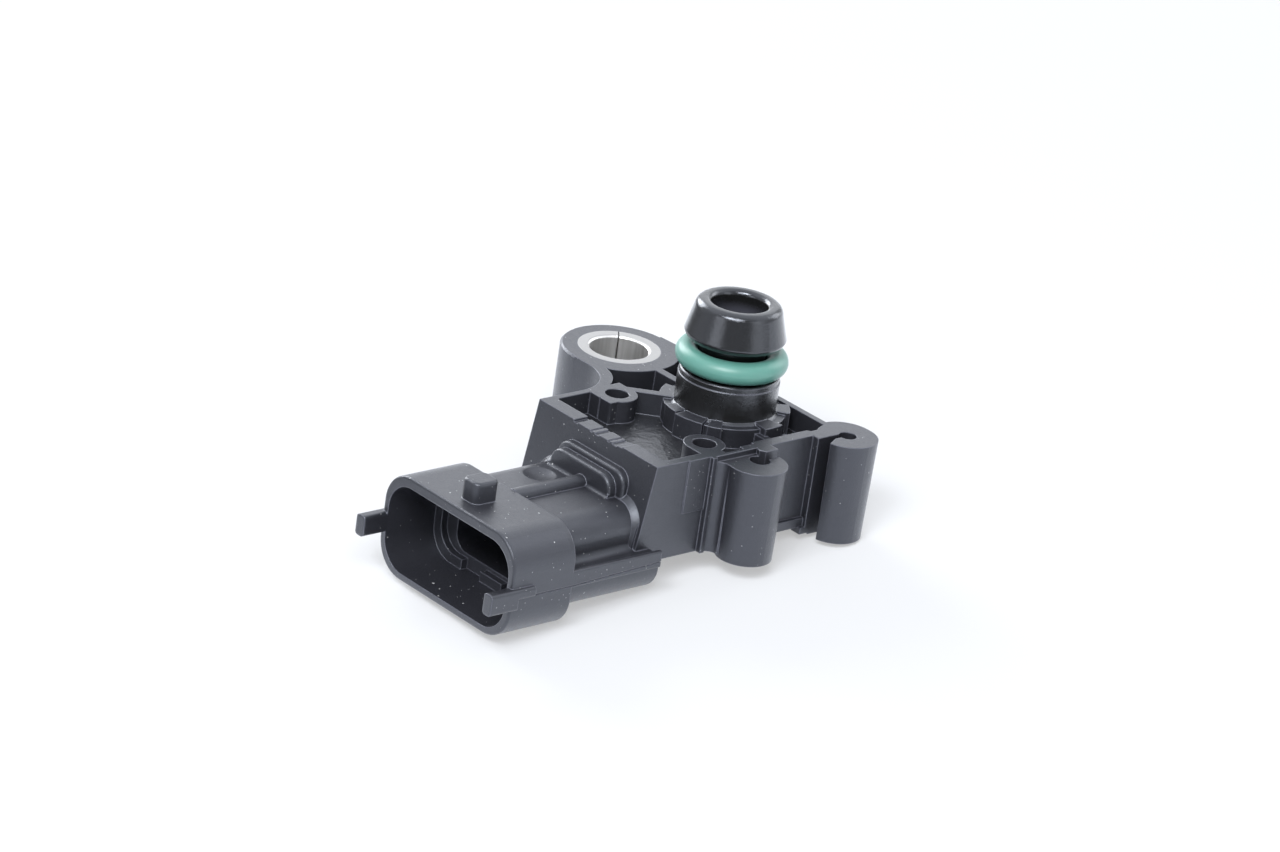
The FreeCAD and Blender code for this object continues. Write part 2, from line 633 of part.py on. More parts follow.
def rails():
    """Pair of rails along the neck's sides, each with a gutter and a cove up to the neck."""
    front = SHROUD_REAR - 1
    wide = SHROUD_WIDTH / 2
    left = SHROUD_X - wide
    right = SHROUD_X + wide
    section = [(left, RAIL_BOTTOM, RAIL_CORNER), (right, RAIL_BOTTOM, RAIL_CORNER),
               (right, RAIL_TOP, RAIL_CORNER), (right - RAIL_LIP, RAIL_TOP),
               (right - RAIL_LIP, GUTTER_FLOOR), (left + RAIL_LIP, GUTTER_FLOOR),
               (left + RAIL_LIP, RAIL_TOP), (left, RAIL_TOP, RAIL_CORNER)]
    pieces = [bar(section, front, RAIL_REAR)]
    for side in (-1, 1):
        foot = SHROUD_X + side * NECK_WIDTH / 2
        tip = foot + side * RAIL_FILLET
        low = GUTTER_FLOOR - SINK
        high = GUTTER_FLOOR + RAIL_FILLET
        pieces.append(bar([(foot - side, low), (tip, low), (tip, GUTTER_FLOOR),
                           (foot, GUTTER_FLOOR, RAIL_FILLET), (foot, high), (foot - side, high)],
                          front, RAIL_REAR))
    return pieces


def keel():
    """Deep underside of the neck, which rises in a curve towards the body."""
    half = SHROUD_WIDTH / 2 - KEEL_SIDE_STEP
    left = SHROUD_X - half
    right = SHROUD_X + half
    hull = bar([(left, KEEL_BOTTOM, KEEL_CORNER), (right, KEEL_BOTTOM, KEEL_CORNER),
                (right, RAIL_BOTTOM + SINK), (left, RAIL_BOTTOM + SINK)], SHROUD_REAR - 1, NECK_REAR)
    end = RAIL_REAR - KEEL_SETBACK
    rise = slab([(end - KEEL_SLOPE, KEEL_BOTTOM - SKIM, KEEL_SLOPE_ROUND), (end, RAIL_BOTTOM),
                 (NECK_REAR + 1, RAIL_BOTTOM), (NECK_REAR + 1, KEEL_BOTTOM - SKIM)], left - 1, right + 1)
    return hull.cut(rise)


def welts():
    """Two stepped pads over the neck's root, with rounded edges and a cove at the front one's foot."""
    pieces = []
    for left, right, height, reach in WELTS:
        front = BODY_FRONT - reach
        top = NECK_TOP + height
        pad = bar([(SHROUD_X + left, NECK_TOP - 1), (SHROUD_X + right, NECK_TOP - 1),
                   (SHROUD_X + right, top, WELT_CORNER), (SHROUD_X + left, top, WELT_CORNER)],
                  front, BODY_FRONT + SINK)
        rim = [edge for edge in pad.Edges if edge.BoundBox.YMax < front + 1e-6
               and edge.BoundBox.ZMax > NECK_TOP]
        pieces.append(pad.makeFillet(WELT_ROUND, rim))
    left, right, height, reach = WELTS[0]
    foot = BODY_FRONT - reach
    before = foot - WELT_COVE
    behind = foot + WELT_COVE
    low = NECK_TOP - SINK
    high = NECK_TOP + WELT_COVE
    pieces.append(slab([(behind, low), (before, low), (before, NECK_TOP), (foot, NECK_TOP, WELT_COVE),
                        (foot, high), (behind, high)], SHROUD_X + left, SHROUD_X + right))
    return pieces


def neck():
    """Bar from the shroud to the body, with a rib and a shallow dimple on top."""
    left = SHROUD_X - NECK_WIDTH / 2
    right = SHROUD_X + NECK_WIDTH / 2
    upper = bar(rectangle(left, right, RAIL_BOTTOM - NECK_CORNER, NECK_TOP, NECK_CORNER), SHROUD_REAR - 1,
                NECK_REAR)
    ball = (DIMPLE_RADIUS ** 2 + DIMPLE_DEPTH ** 2) / (2 * DIMPLE_DEPTH)
    dimple = Part.makeSphere(ball, V(SHROUD_X + DIMPLE_SHIFT, BODY_FRONT - DIMPLE_SETBACK,
                                     NECK_TOP + ball - DIMPLE_DEPTH))
    rib_start = V(SHROUD_X + RIB_SHIFT, SHROUD_REAR, NECK_TOP)
    rib = Part.makeCylinder(RIB_RADIUS, BODY_FRONT - SHROUD_REAR, rib_start, V(0, 1, 0))
    return joined([upper.cut(dimple), keel(), rib, neck_flare()] + rails() + welts())


def socket():
    """Space inside the connector, with the ledge that stops the plug and the terminals' recess."""
    ledge = SHROUD_MOUTH + LEDGE_DEPTH
    mouth = bar(shroud_outline(SHROUD_WALL, SHROUD_TOP_WALL), SHROUD_MOUTH - SKIM, ledge)
    inset = SHROUD_WALL + LEDGE_WIDTH
    recess = bar(shroud_outline(inset, SHROUD_TOP_WALL + LEDGE_WIDTH), ledge - 1, ledge + RECESS_DEPTH)
    half = NECK_WIDTH / 2 - SHROUD_WALL
    high = SHROUD_Z + SHROUD_HEIGHT / 2 - SHROUD_TOP_WALL - LEDGE_WIDTH
    deep = bar(rectangle(SHROUD_X - half, SHROUD_X + half, KEEL_BOTTOM + SHROUD_WALL, high,
                         NECK_CORNER - SHROUD_WALL),
               ledge, SHROUD_MOUTH + SOCKET_DEPTH)
    gaps = []
    gap_low = SHROUD_Z - SHROUD_HEIGHT / 2 + SHROUD_WALL
    for side in (-1, 1):
        centre = SHROUD_X + side * LEDGE_GAP_OFFSET
        gaps.append(block(centre - LEDGE_GAP / 2, centre + LEDGE_GAP / 2, ledge - 1,
                          ledge + RECESS_DEPTH, gap_low, SHROUD_Z))
    return [mouth, recess, deep] + gaps


def chamber():
    """Electronics space that opens at the body's underside, and the seat of the cover."""
    nose_right = BODY_RIGHT - CHAMBER_WALL
    front = BODY_FRONT + CHAMBER_WALL
    plan = [(CHAMBER_NOSE_LEFT, front, CHAMBER_CORNER), (nose_right, front, CHAMBER_CORNER),
            (nose_right, CHAMBER_BACK, CHAMBER_CORNER), (CHAMBER_LEFT, CHAMBER_BACK, CHAMBER_CORNER),
            (CHAMBER_LEFT, CHAMBER_NOSE_BACK), (CHAMBER_NOSE_LEFT, CHAMBER_NOSE_BACK, CHAMBER_CORNER)]
    room = prism(plan, -BODY_HEIGHT - 1, CHAMBER_TOP)
    shelf = block(CHAMBER_NOSE_LEFT - 1, nose_right + 1, front - 1, front + SHELF_LENGTH,
                  SHELF_LEVEL, CHAMBER_TOP + 1)
    return [room.cut(shelf), cover_blank(0, -BODY_HEIGHT - 1, COVER_TOP)]


def cover_blank(inset, low, high):
    """Plate with the outline of the cover's seat, drawn in by inset."""
    left = BODY_LEFT + COVER_RIM + inset
    right = BODY_RIGHT - COVER_RIM - inset
    front = BODY_FRONT + COVER_RIM + inset
    back = BODY_BACK - COVER_RIM - inset
    return block(left, right, front, back, low, high, max(COVER_CORNER - inset, COVER_CORNER / 3))


def rear_cover():
    """Flat lid glued into the body's underside, with a shallow rim on its outer face."""
    plate = cover_blank(COVER_GAP, -BODY_HEIGHT, COVER_TOP)
    return plate.cut(cover_blank(COVER_GAP + COVER_LIP, -BODY_HEIGHT - 1, COVER_HOLLOW - BODY_HEIGHT))


def cover_adhesive():
    """Bead of glue that fills the gap round the cover."""
    low = COVER_TOP - GLUE_DEPTH
    return cover_blank(0, low, COVER_TOP).cut(cover_blank(COVER_GAP, low, COVER_TOP))


def terminal(place):
    """Flat blade from the socket through the neck to its pad on the chamber's shelf."""
    x = SHROUD_X + place * TERMINAL_PITCH
    half = TERMINAL_THICKNESS / 2
    tip = SHROUD_MOUTH + TERMINAL_SETBACK
    pad_top = SHELF_LEVEL
    pad_low = pad_top - TERMINAL_THICKNESS
    rise = pad_top - half - SHROUD_Z
    bend_end = TERMINAL_BEND + rise
    bend_step = half * TERMINAL_BEND_SHARE
    end = BODY_FRONT + CHAMBER_WALL + TERMINAL_PAD_REACH
    side = [(tip, SHROUD_Z - half * TERMINAL_TIP_SHARE), (tip + TERMINAL_POINT, SHROUD_Z - half),
            (TERMINAL_BEND + bend_step, SHROUD_Z - half), (bend_end + bend_step, pad_low),
            (end, pad_low), (end, pad_top), (bend_end, pad_top), (TERMINAL_BEND, SHROUD_Z + half),
            (tip + TERMINAL_POINT, SHROUD_Z + half), (tip, SHROUD_Z + half * TERMINAL_TIP_SHARE)]
    blade = slab(side, x - TERMINAL_WIDTH / 2, x + TERMINAL_WIDTH / 2)
    pad_front = BODY_FRONT + CHAMBER_WALL + TERMINAL_PAD_SETBACK
    pad = block(x - TERMINAL_PAD_WIDTH / 2, x + TERMINAL_PAD_WIDTH / 2, pad_front, end,
                pad_low, pad_top, TERMINAL_PAD_CORNER)
    return joined([blade, pad])


def bush():
    """Rolled steel bush that takes the screw's clamping force."""
    profile = [(BUSH_BORE_RADIUS, -FOOT_HEIGHT), (BUSH_RADIUS, -FOOT_HEIGHT), (BUSH_RADIUS, 0),
               (BUSH_BORE_RADIUS + BUSH_CHAMFER, 0), (BUSH_BORE_RADIUS, -BUSH_CHAMFER)]
    tube = turned(profile)
    seam = block(0, BUSH_RADIUS + 1, -BUSH_SEAM_WIDTH / 2, BUSH_SEAM_WIDTH / 2, -FOOT_HEIGHT - 1, 1)
    seam.rotate(V(0, 0, 0), V(0, 0, 1), BUSH_SEAM_ANGLE)
    tube = tube.cut(seam)
    tube.translate(V(EAR_X, EAR_Y, 0))
    return tube


def o_ring():
    """Rubber seal seated on the groove's floor."""
    return Part.makeTorus(O_RING_CENTRE, O_RING_SECTION / 2, V(0, 0, O_RING_LEVEL))


def housing(inserts):
    """Single black moulding, formed round the terminals and the bush."""
    block_solid = body_block().cut(pockets() + [waist_recess()])
    outside = [block_solid, pillar(-1), pillar(1), neck(), port_solid()]
    shell = joined(outside + waist_details() + shroud_body())
    holes = [drum(BUSH_RADIUS, -FOOT_HEIGHT - 1, 1, EAR_X, EAR_Y), front_pillar_step()]
    holes.append(drum(PORT_BORE_RADIUS, CHAMBER_TOP - 1, PORT_HEIGHT))
    for x, y in (LEFT_BOSS, RIGHT_BOSS):
        holes.append(drum(BOSS_HOLE_RADIUS, -min(BOSS_HOLE_DEPTH, POCKET_DEPTH + BOSS_HOLE_SINK), 1, x, y))
    holes += socket() + chamber() + front_notches() + parting_lines()
    return shell.cut(holes).cut(inserts).removeSplitter()


def module_lead(place):
    """Lead from the cavity through the module's wall down to a terminal's pad."""
    x = place * LEAD_PITCH
    target = SHROUD_X + place * TERMINAL_PITCH
    inside = -CAVITY_LENGTH / 2 + LEAD_PAD
    wall = -MODULE_LENGTH / 2
    level = CAVITY_FLOOR + SIGNAL_CHIP_HEIGHT
    pad_level = SHELF_LEVEL - TERMINAL_THICKNESS
    pad_end = BODY_FRONT + CHAMBER_WALL + TERMINAL_PAD_REACH
    half = LEAD_WIDTH / 2
    bend = wall - LEAD_STAND
    inner = block(x - half, x + half, bend, inside, level - LEAD_THICKNESS, level)
    drop = slab(rectangle(bend, bend + LEAD_THICKNESS, pad_level - LEAD_THICKNESS, level),
                x - half, x + half)
    foot = prism([(x - half, bend + LEAD_THICKNESS), (x - half, bend - LEAD_KINK),
                  (target - half, pad_end + LEAD_KINK), (target - half, pad_end - LEAD_LAP),
                  (target + half, pad_end - LEAD_LAP), (target + half, pad_end + LEAD_KINK),
                  (x + half, bend - LEAD_KINK), (x + half, bend + LEAD_THICKNESS)],
                 pad_level - LEAD_THICKNESS, pad_level)
    return joined([inner, drop, foot])


def module_body(leads):
    """Moulded box of the sensor module, open towards the port."""
    body = block(-MODULE_WIDTH / 2, MODULE_WIDTH / 2, -MODULE_LENGTH / 2, MODULE_LENGTH / 2,
                 MODULE_TOP - MODULE_HEIGHT, MODULE_TOP, MODULE_ROUND)
    cavity = block(-CAVITY_WIDTH / 2, CAVITY_WIDTH / 2, -CAVITY_LENGTH / 2, CAVITY_LENGTH / 2,
                   CAVITY_FLOOR, MODULE_TOP + 1, CAVITY_ROUND)
    step = block(-CAVITY_WIDTH / 2 - 1, CAVITY_WIDTH / 2 + 1, -MODULE_LENGTH / 2 + MODULE_SKIN,
                 -CAVITY_LENGTH / 2 + LEAD_PAD, MODULE_TOP - MODULE_HEIGHT + MODULE_SKIN,
                 CAVITY_FLOOR + SIGNAL_CHIP_HEIGHT)
    return body.cut(cavity.cut(step)).cut(leads)


def module_seal():
    """Frame of glue between the module's rim and the chamber's ceiling."""
    frame = block(-MODULE_WIDTH / 2, MODULE_WIDTH / 2, -MODULE_LENGTH / 2, MODULE_LENGTH / 2,
                  MODULE_TOP, CHAMBER_TOP, MODULE_ROUND)
    return frame.cut(block(-CAVITY_WIDTH / 2, CAVITY_WIDTH / 2, -CAVITY_LENGTH / 2, CAVITY_LENGTH / 2,
                           MODULE_TOP - 1, CHAMBER_TOP + 1, CAVITY_ROUND))


def chip(x, side, low, height):
    """Square silicon or glass die on the cavity's floor."""
    return block(x - side / 2, x + side / 2, CHIP_Y - side / 2, CHIP_Y + side / 2, low, low + height)


def wire(start, end):
    """Bond wire: thin band that rises from one pad, arches over and lands on the other."""
    span = math.dist(start[:2], end[:2])
    high = max(start[2], end[2]) + WIRE_ARCH
    crest_start, crest_end = (span * share for share in WIRE_CREST)
    loop = [(0, start[2]), (WIRE_SIDE, start[2]), (crest_start, high - WIRE_SIDE),
            (crest_end, high - WIRE_SIDE), (span - WIRE_SIDE, end[2]), (span, end[2]),
            (crest_end + WIRE_SIDE, high), (crest_start - WIRE_SIDE, high)]
    band = bar(loop, -WIRE_SIDE / 2, WIRE_SIDE / 2)
    heading = math.degrees(math.atan2(end[1] - start[1], end[0] - start[0]))
    band.rotate(V(0, 0, 0), V(0, 0, 1), heading)
    band.translate(V(start[0], start[1], 0))
    return band


def bond_wires():
    """Three wires from the leads to the signal chip and three on to the sensing chip."""
    lead_level = CAVITY_FLOOR + SIGNAL_CHIP_HEIGHT
    chip_level = lead_level
    sensing_level = CAVITY_FLOOR + GLASS_HEIGHT + CHIP_HEIGHT
    lead_y = -CAVITY_LENGTH / 2 + LEAD_PAD / 2
    near_y = CHIP_Y - SIGNAL_CHIP_SIDE / 2 + WIRE_INSET
    wires = []
    for place in (-1, 0, 1):
        near_x = SIGNAL_CHIP_X + place * SIGNAL_CHIP_SIDE * WIRE_SPREAD
        wires.append(wire((place * LEAD_PITCH, lead_y, lead_level), (near_x, near_y, chip_level)))
        y = CHIP_Y + place * GLASS_SIDE * WIRE_SPREAD
        wires.append(wire((SIGNAL_CHIP_X - SIGNAL_CHIP_SIDE / 2 + WIRE_INSET, y, chip_level),
                          (SENSING_CHIP_X + GLASS_SIDE / 2 - WIRE_INSET, y, sensing_level)))
    return Part.makeCompound(wires)


def gel(contents):
    """Soft gel over the chips and wires."""
    fill = block(-CAVITY_WIDTH / 2, CAVITY_WIDTH / 2, -CAVITY_LENGTH / 2, CAVITY_LENGTH / 2,
                 CAVITY_FLOOR, MODULE_TOP - GEL_DEPTH, CAVITY_ROUND)
    return fill.cut(contents)


def capacitor(place):
    """Interference capacitor that bridges two neighbouring pads."""
    x = SHROUD_X + place * TERMINAL_PITCH / 2
    top = SHELF_LEVEL - TERMINAL_THICKNESS
    y = BODY_FRONT + CHAMBER_WALL + TERMINAL_PAD_REACH - LEAD_LAP - CAPACITOR_WIDTH / 2 - CAPACITOR_GAP
    half = CAPACITOR_LENGTH / 2
    return block(x - half, x + half, y - CAPACITOR_WIDTH / 2, y + CAPACITOR_WIDTH / 2,
                 top - CAPACITOR_HEIGHT, top)


def build():
    """All pieces by name."""
    terminals = {name: terminal(place) for name, place in
                 (("terminal_left", -1), ("terminal_middle", 0), ("terminal_right", 1))}
    leads = {name: module_lead(place) for name, place in
             (("module_lead_left", -1), ("module_lead_middle", 0), ("module_lead_right", 1))}
    steel_bush = bush()
    lead_list = list(leads.values())
    module = module_body(lead_list)
    glass = chip(SENSING_CHIP_X, GLASS_SIDE, CAVITY_FLOOR, GLASS_HEIGHT)
    sensing = chip(SENSING_CHIP_X, GLASS_SIDE, CAVITY_FLOOR + GLASS_HEIGHT, CHIP_HEIGHT)
    signal = chip(SIGNAL_CHIP_X, SIGNAL_CHIP_SIDE, CAVITY_FLOOR, SIGNAL_CHIP_HEIGHT)
    wires = bond_wires()
    pieces = {
        "housing": housing(list(terminals.values())),
        "o_ring": o_ring(),
        "mounting_bush": steel_bush,
        "rear_cover": rear_cover(),
        "cover_adhesive": cover_adhesive(),
        "sensor_module": module,
        "module_seal": module_seal(),
        "glass_base": glass,
        "sensing_chip": sensing,
        "signal_chip": signal,
        "bond_wires": wires,
        "protective_gel": gel([glass, sensing, signal, module] + lead_list + wires.Solids),
        "emc_capacitor_left": capacitor(-1),
        "emc_capacitor_right": capacitor(1),
    }
    pieces.update(terminals)
    pieces.update(leads)
    return pieces


os.makedirs("parts", exist_ok=True)
for name, shape in build().items():
    shape.exportStep("parts/" + name + ".step")
    print(name, len(shape.Solids), "solid", round(shape.Volume, 1), "mm3", "valid", shape.isValid())
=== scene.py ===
import json

import bpy
from mathutils import Matrix, Vector

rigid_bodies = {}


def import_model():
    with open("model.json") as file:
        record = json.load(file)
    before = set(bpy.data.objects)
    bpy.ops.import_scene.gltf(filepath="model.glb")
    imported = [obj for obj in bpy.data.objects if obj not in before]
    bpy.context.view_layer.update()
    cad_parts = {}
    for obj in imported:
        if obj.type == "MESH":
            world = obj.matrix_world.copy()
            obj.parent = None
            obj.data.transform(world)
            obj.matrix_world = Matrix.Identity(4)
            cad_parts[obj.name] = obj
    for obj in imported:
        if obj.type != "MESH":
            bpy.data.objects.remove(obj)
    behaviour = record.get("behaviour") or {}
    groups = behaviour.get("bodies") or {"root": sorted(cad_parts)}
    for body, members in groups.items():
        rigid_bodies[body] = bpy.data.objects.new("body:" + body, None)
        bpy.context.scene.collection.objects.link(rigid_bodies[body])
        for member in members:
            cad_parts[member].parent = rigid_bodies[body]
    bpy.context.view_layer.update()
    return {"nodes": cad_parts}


for leftover in list(bpy.data.objects):
    bpy.data.objects.remove(leftover)
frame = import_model()

# Millimetres to metres, which the frame is in, and back
MM = 0.001
PER_MM = 1000.0

# Viewpoint of the photograph: place in metres, right and up directions, and lens
CAMERA_PLACE = Vector((0.40570867, -0.40528969, 0.23300858))
CAMERA_RIGHT = Vector((0.64769646, 0.74986828, 0.13485866))
CAMERA_UP = Vector((-0.37355546, 0.15828001, 0.91400424))
CAMERA_LENS = 151.875
CAMERA_SENSOR = 36.0
CAMERA_NEAR = 0.01

# What the part rests on, in millimetres: the shroud's lower rear edge, the feet of pillar and ear
REST_POINTS = (
    Vector((-5.4, -32.5, -16.8)),
    Vector((13.3, 10.6, -12.1)),
    Vector((-18.0, 6.0, -12.1)),
)

# Softboxes by name, place and side in metres, and power in watts
SOFTBOXES = (
    ("back_softbox", Vector((-0.66, 0.62, 0.45)), 0.7, 1.35),
    ("back_right_softbox", Vector((0.10, 0.85, 0.40)), 0.5, 2.4),
    ("left_softbox", Vector((-0.85, 0.0, 0.35)), 0.5, 7.2),
    ("front_softbox", Vector((0.04, -0.87, 0.22)), 0.42, 1.1),
    ("right_softbox", Vector((0.85, 0.15, 0.30)), 0.5, 1.1),
    ("near_softbox", Vector((0.42, -0.48, 0.60)), 0.40, 5.8),
    ("port_softbox", Vector((0.20, -0.60, 0.62)), 0.24, 3.6),
)
LAMP_COLOUR = (0.96, 0.98, 1.0)
WORLD_GREY = 0.31
BACKGROUND_WHITE = 1.0

# White room in reflections: plain level, brighter overhead, dimmer on the photograph's side
ROOM_COLOUR = (0.93, 0.96, 1.02, 1.0)
ROOM_LEVEL = 0.97
ROOM_TOP_LEVEL = 1.80
ROOM_TOP = Vector((0.0, 0.0, 1.0))
ROOM_TOP_EDGE = (0.35, 0.80)
ROOM_NEAR_LEVEL = 0.5
ROOM_NEAR = Vector((0.66, -0.64, 0.36)).normalized()
ROOM_NEAR_EDGE = (0.35, 0.92)

# Floor: reach in metres, paint, share of white to the camera, levels in reflections near and far
FLOOR_REACH = 3.0
FLOOR_COLOUR = (0.66, 0.675, 0.71, 1.0)
FLOOR_GLOW = 0.42
FLOOR_SHINE = 0.78
FLOOR_DIM = 0.40
FLOOR_FADE = Vector((-0.62, -0.78, 0.0))
FLOOR_FADE_EDGE = (0.052, 0.085)

# Places on the moulding that its finish follows, in millimetres
PORT_REACH = 6.0
PORT_FOOT = -0.8
PORT_GROOVE = (3.7, 4.2)
BORE_RADIUS = 3.3
# Below this level in the bore, and inside the socket and recess boxes, painted fill light makes the
# shaded plastic paler
BORE_FADE = (11.5, 10.0)
POCKET_FLOOR_LOW = (-3.0, -2.9)
POCKET_FLOOR_HIGH = (-2.8, -2.6)
FRONT_WALL_BACK = -18.2
MOUTH_BLEND = (-43.6, -43.1)
MOUTH_ROUND = 0.42
SOCKET_BOX = ((2.0, -37.1, -10.6), (11.0, 4.0, 5.75))
RECESS_BOX = ((2.0, -29.4, -11.175), (7.7, 4.75, 4.575))
BLEND = 0.2

# How far a face may lean and still count as a floor, and as one that gathers dust
FLAT_EDGE = (0.9, 0.97)
UPWARD_EDGE = (-0.2, 0.6)
DUST_COVER = (0.35, 0.9)

# Rounded edges in millimetres, the reach of the painted edge highlight, where the normals part, and how
# mottled the painted highlight is
EDGE_ROUND = 0.20
HIGHLIGHT_EDGE_REACH = 0.26
HIGHLIGHT_LEAST = 0.1
HIGHLIGHT_SPREAD = 0.9
EDGE_AGREEMENT = (0.86, 0.99)
EDGE_SAMPLES = 8
FINE_ROUND = 0.12

# The plastic's shades, as linear greys, with painted fill light for its hollows and a painted edge
# highlight
PLASTIC_TINT = (0.94, 0.96, 1.20)
SHEEN_TINT = (0.86, 0.90, 1.0, 1.0)
PLASTIC_DARK = 0.010
PLASTIC_PALE = 0.018
FIBRE_SHADE = 0.050
FIBRE_SHARE = 0.20
POLISHED_SHADE = 0.009
# Painted fill light: paler greys in the bore, socket and recess, where these hollows lie in shade
BORE_PAINTED_FILL = 0.060
SOCKET_PAINTED_FILL = 0.022
RECESS_PAINTED_FILL = 0.030
# Pale grey painted on edges and corners as a highlight
EDGE_HIGHLIGHT_SHADE = 0.130
DUST_SHADE = 0.55
DUST_TINT = (0.97, 0.98, 1.0)

# Patterns on the plastic: scale per millimetre and detail, and the roughness of the fine ones
CLOUD = (0.22, 4.0)
MOTTLE = (1.4, 4.0)
GRAIN = (4.0, 4.0)
FIBRE = (2.2, 3.0)
FIBRE_STRETCH = (1.0, 0.25, 1.0)
GLOSS = (0.5, 3.0)
WAVES = (0.9, 2.0)
RIPPLE = (2.2, 4.0)
FINE_ROUGHNESS = 0.7

# Dust on the plastic, coarse and fine: spacing, share of places with a grain, and size
COARSE_DUST = (1.4, 0.35, 0.13)
FINE_DUST = (0.50, 0.30, 0.080)
RAGGED_SCALE = 4.0
RAGGED_SHARE = 1.6

# Gloss: roughness, and what patterns and the barrel below the groove add to it
MATTE_ROUGH = 0.25
MATTE_SPREAD = 0.14
POLISHED_ROUGH = 0.09
POLISHED_SPREAD = 0.14
BARREL_ROUGH = 0.12
PLASTIC_IOR = 1.64

# Depths of the plastic's surface patterns, in millimetres
WAVE_DEPTH = 0.25
RIPPLE_DEPTH = 0.030
SKIN_DEPTH = 0.028
DUST_HEIGHT = 1.5

# Seal ring: its greens, patterns, dust, gloss, and how far each colour of light enters, in metres
SEAL_DARK = (0.078, 0.232, 0.190, 1.0)
SEAL_PALE = (0.110, 0.280, 0.240, 1.0)
SEAL_CLOUD = (0.35, 3.0)
SEAL_SKIN = (5.0, 2.0)
SEAL_SKIN_DEPTH = 0.010
SEAL_DUST = (0.9, 0.08, 0.07)
SEAL_DUST_SHADE = 0.6
SEAL_DUST_COVER = 0.6
SEAL_ROUGH = 0.32
SEAL_SPREAD = 0.12
SEAL_IOR = 1.52
SEAL_SOFTNESS = 0.05
SEAL_LIGHT_REACH = (0.0004, 0.0008, 0.0006)

# Bush: tints and shades of bore and end, patterns, gloss, and the level where the end begins
STEEL_TINT = (1.0, 0.99, 0.98)
STEEL_DARK_TINT = (1.0, 0.99, 0.97)
STEEL_DARK = 0.52
STEEL_PALE = 0.76
STEEL_END = 0.36
STEEL_STREAKS = (3.0, 4.0)
STEEL_STRETCH = (1.0, 1.0, 0.06)
STEEL_CLOUD = (0.6, 3.0)
STEEL_CLOUD_SHARE = 0.4
STEEL_DEPTH = 0.020
STEEL_ROUGH = 0.30
STEEL_SPREAD = 0.20
STEEL_END_ROUGH = 0.22
BUSH_END = (-0.15, -0.02)


class Nodes:
    """A node tree, emptied, with short calls for the nodes that most trees need."""

    def __init__(self, tree):
        self.tree = tree
        tree.nodes.clear()

    def add(self, kind, **inputs):
        """Node of a kind with its inputs given as values or as other nodes' outputs."""
        node = self.tree.nodes.new(kind)
        for name, value in inputs.items():
            self.put(node, name.replace("_", " "), value)
        return node

    def put(self, node, name, value):
        """Value or link for one input, found by its name or its number."""
        socket = node.inputs[int(name)] if name.isdigit() else node.inputs[name]
        if isinstance(value, bpy.types.NodeSocket):
            self.tree.links.new(value, socket)
        else:
            socket.default_value = value

    def vector(self, operation, first, second=None, scale=None):
        """Vector arithmetic."""
        node = self.tree.nodes.new("ShaderNodeVectorMath")
        node.operation = operation
        self.put(node, "0", first)
        if second is not None:
            self.put(node, "1", second)
        if scale is not None:
            node.inputs["Scale"].default_value = scale
        return node.outputs["Value"] if operation in ("LENGTH", "DOT_PRODUCT") else node.outputs[0]

    def math(self, operation, first, second=0.0, third=0.0):
        """Arithmetic on one to three numbers."""
        node = self.tree.nodes.new("ShaderNodeMath")
        node.operation = operation
        for i, value in enumerate((first, second, third)):
            self.put(node, str(i), value)
        return node.outputs[0]

    def ramp(self, value, edge, levels=(0.0, 1.0)):
        """Smooth step between two levels as a value crosses an edge, from its first end to its last."""
        node = self.tree.nodes.new("ShaderNodeMapRange")
        node.interpolation_type = "SMOOTHSTEP"
        for name, number in (("Value", value), ("From Min", edge[0]), ("From Max", edge[1]),
                             ("To Min", levels[0]), ("To Max", levels[1])):
            self.put(node, name, number)
        return node.outputs[0]

    def layered(self, chooser, below, above):
        """Shader that turns from one to another as a number goes from 0 to 1."""
        node = self.add("ShaderNodeMixShader", Fac=chooser)
        self.put(node, "1", below)
        self.put(node, "2", above)
        return node.outputs[0]


